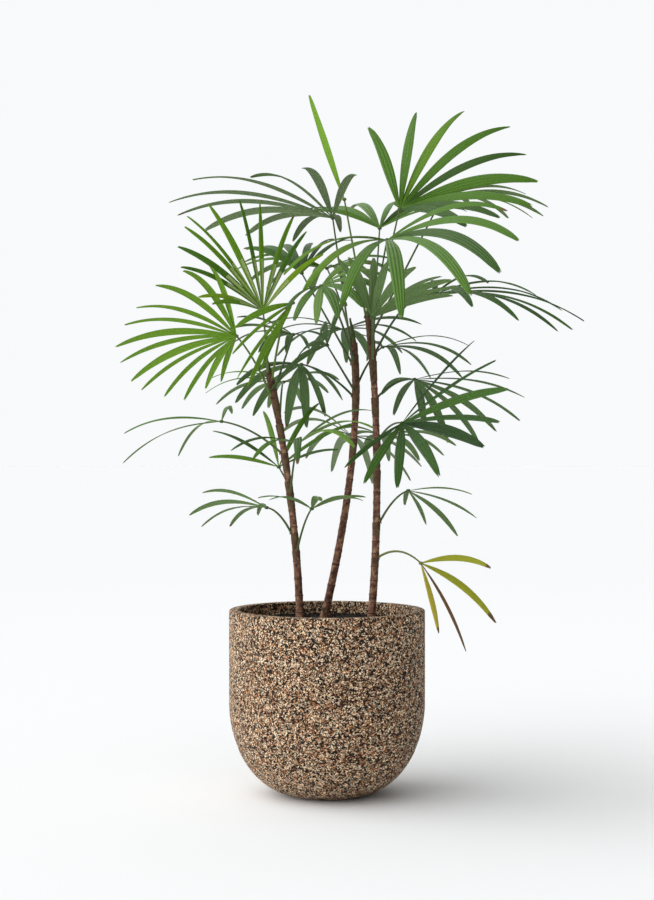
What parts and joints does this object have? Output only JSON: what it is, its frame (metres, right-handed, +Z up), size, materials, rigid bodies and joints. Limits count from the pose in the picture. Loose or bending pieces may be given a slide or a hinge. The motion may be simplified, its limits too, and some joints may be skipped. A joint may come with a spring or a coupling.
{
  "type": "potted slender lady palm",
  "caption": "Slender lady palm with thin reed-like canes and airy fan fronds, standing in a round-bellied speckled planter filled with soil.",
  "frame": {"origin": "centre of the planter's flat underside", "axes": "+Z up along the planter's axis, +X to the right and +Y away from the viewer in the reference view"},
  "size_m": [0.8226, 0.8552, 1.2182],
  "materials": {
    "pot_chips": "matte speckle of pressed tan, brown and black chips",
    "soil": "dark damp potting compost",
    "cane_bark": "ringed red-brown cane with fibrous sheaths",
    "leaf_bright": "young yellow-green leaf, satin",
    "leaf_mid": "mid-green leaf, satin",
    "leaf_deep": "deep green leaf, satin",
    "leaf_grey": "grey-green leaf, satin",
    "leaf_yellow": "ageing yellow leaf with dry tips"
  },
  "bodies": {
    "root": {"pot": "pot_chips", "soil": "soil", "cane_left": "cane_bark", "cane_middle": "cane_bark", "cane_right": "cane_bark", "old_stub": "cane_bark", "frond_spear": "leaf_bright", "frond_top_right": "leaf_mid", "frond_top_left": "leaf_grey", "frond_near_right": "leaf_mid", "frond_outer_left": "leaf_bright", "frond_high_left": "leaf_bright", "frond_crown_near": "leaf_mid", "frond_right_side": "leaf_deep", "frond_near_low": "leaf_deep", "frond_right_middle": "leaf_deep", "frond_inner_left": "leaf_deep", "frond_near_left": "leaf_bright", "frond_near_middle": "leaf_grey", "frond_inner_middle": "leaf_deep", "frond_low_near": "leaf_mid", "frond_low_back": "leaf_grey", "frond_back_right": "leaf_deep", "frond_back_left": "leaf_mid", "frond_far_left": "leaf_mid", "frond_low_left": "leaf_mid", "frond_low_middle": "leaf_mid", "frond_low_right": "leaf_mid", "frond_yellow": "leaf_yellow", "frond_behind_left": "leaf_deep", "frond_behind_top": "leaf_mid", "frond_behind_right": "leaf_mid", "frond_small_left": "leaf_deep", "frond_rear_top": "leaf_mid", "frond_rear_middle": "leaf_deep", "frond_rear_left": "leaf_mid", "frond_rear_low": "leaf_mid"}
  },
  "joints": []
}
